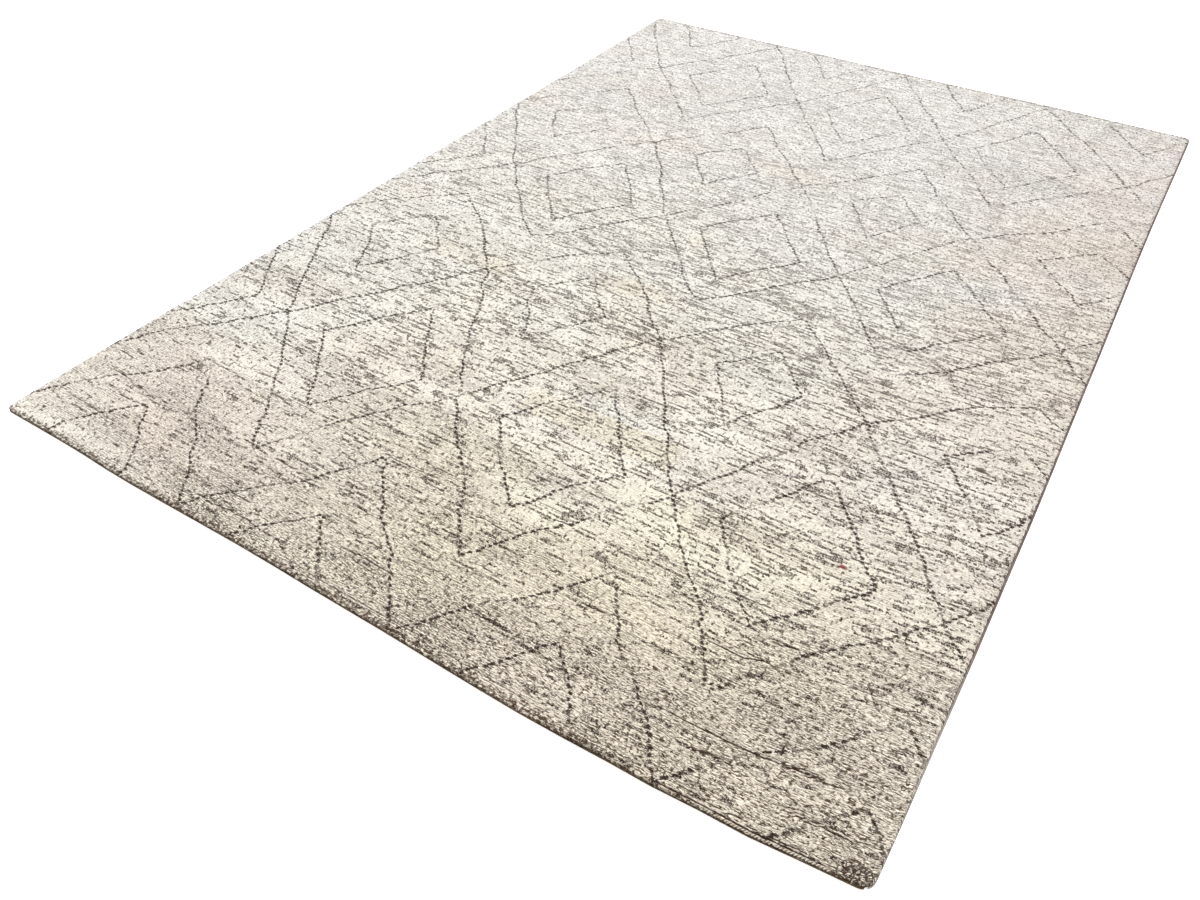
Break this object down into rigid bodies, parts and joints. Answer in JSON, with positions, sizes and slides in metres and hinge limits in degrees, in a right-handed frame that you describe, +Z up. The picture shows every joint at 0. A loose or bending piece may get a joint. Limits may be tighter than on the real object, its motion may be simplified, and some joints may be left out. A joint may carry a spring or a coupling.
{
  "type": "berber pile rug",
  "caption": "Flat rectangular wool rug with a low cut pile, a lattice of dotted diamond lines and whipped cord edges.",
  "frame": {"origin": "on the floor under the middle of the rug's bounding box", "axes": "+Y along the length, away from the end nearest the camera; +X across the width, to the viewer's right; +Z up out of the floor"},
  "size_m": [2.0039, 2.916, 0.012],
  "materials": {
    "pile_wool": "heathered cream wool pile with dark grey-brown dotted lines",
    "end_binding_wool": "beige-brown wool whipped round a cord",
    "selvedge_wool": "mauve-grey wool whipped round a cord"
  },
  "bodies": {
    "root": {"rug_field": "pile_wool", "near_end_binding": "end_binding_wool", "far_end_binding": "end_binding_wool", "left_selvedge": "selvedge_wool", "right_selvedge": "selvedge_wool"}
  },
  "joints": []
}
